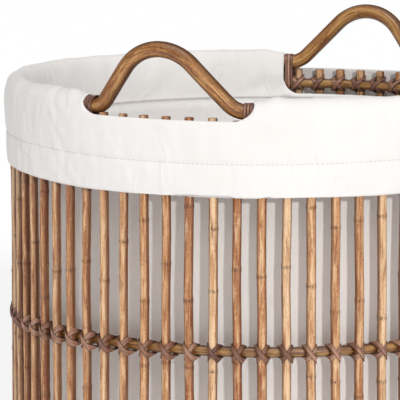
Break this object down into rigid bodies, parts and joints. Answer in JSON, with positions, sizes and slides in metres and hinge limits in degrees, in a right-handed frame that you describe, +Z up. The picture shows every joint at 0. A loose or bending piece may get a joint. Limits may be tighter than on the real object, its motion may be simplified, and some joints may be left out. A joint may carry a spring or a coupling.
{
  "type": "woven laundry basket",
  "caption": "Round open laundry basket of upright rattan stakes tied to hoops, with two bent-pole handles and a lift-out cloth liner folded over the rim.",
  "frame": {"origin": "on the floor, at the centre of the circle of stake feet", "axes": "+Z up; the two handles are at -Y (front) and +Y (back); +X is to the right seen from the front"},
  "size_m": [0.5174, 0.5174, 0.5066],
  "materials": {
    "rattan_stake": "round varnished rattan canes, tan to red brown, with darker joints",
    "rattan_hoop": "thicker varnished rattan, golden brown",
    "rattan_pole": "bent rattan pole, golden brown with worn pale scuffs",
    "cane_binding": "flat split cane strip, dull pinkish brown",
    "cotton_cloth": "white plain woven cotton with a stitched hem"
  },
  "bodies": {
    "basket": {"stakes_01": "rattan_stake", "stakes_02": "rattan_stake", "stakes_03": "rattan_stake", "stakes_04": "rattan_stake", "stakes_05": "rattan_stake", "stakes_06": "rattan_stake", "stakes_07": "rattan_stake", "stakes_08": "rattan_stake", "stakes_09": "rattan_stake", "stakes_10": "rattan_stake", "stakes_11": "rattan_stake", "stakes_12": "rattan_stake", "stakes_13": "rattan_stake", "stakes_14": "rattan_stake", "stakes_15": "rattan_stake", "stakes_16": "rattan_stake", "stakes_17": "rattan_stake", "stakes_18": "rattan_stake", "stakes_19": "rattan_stake", "stakes_20": "rattan_stake", "stakes_21": "rattan_stake", "stakes_22": "rattan_stake", "stakes_23": "rattan_stake", "stakes_24": "rattan_stake", "stakes_25": "rattan_stake", "stakes_26": "rattan_stake", "stakes_27": "rattan_stake", "stakes_28": "rattan_stake", "stakes_29": "rattan_stake", "stakes_30": "rattan_stake", "stakes_31": "rattan_stake", "stakes_32": "rattan_stake", "stakes_33": "rattan_stake", "stakes_34": "rattan_stake", "stakes_35": "rattan_stake", "bottom_hoop": "rattan_hoop", "bottom_hoop_ties": "cane_binding", "middle_hoop": "rattan_hoop", "middle_hoop_ties": "cane_binding", "top_hoop": "rattan_hoop", "top_hoop_ties": "cane_binding", "rim_pole_front": "rattan_pole", "handle_lashing_front_left": "cane_binding", "handle_lashing_front_right": "cane_binding", "rim_pole_back": "rattan_pole", "handle_lashing_back_left": "cane_binding", "handle_lashing_back_right": "cane_binding", "rim_joint_lashing_left": "cane_binding", "rim_joint_lashing_right": "cane_binding", "base_ring": "rattan_hoop", "base_rods": "rattan_stake", "base_bearers": "rattan_hoop", "base_bearer_ties": "cane_binding", "base_rod_ties": "cane_binding", "base_ring_lashings": "cane_binding"},
    "liner": {"liner_wall": "cotton_cloth", "liner_base": "cotton_cloth", "liner_collar": "cotton_cloth"}
  },
  "joints": [
    {"name": "liner_lift", "type": "slide", "parent": "basket", "child": "liner", "axis": [0, 0, 1], "range_m": [0, 0.5]}
  ]
}
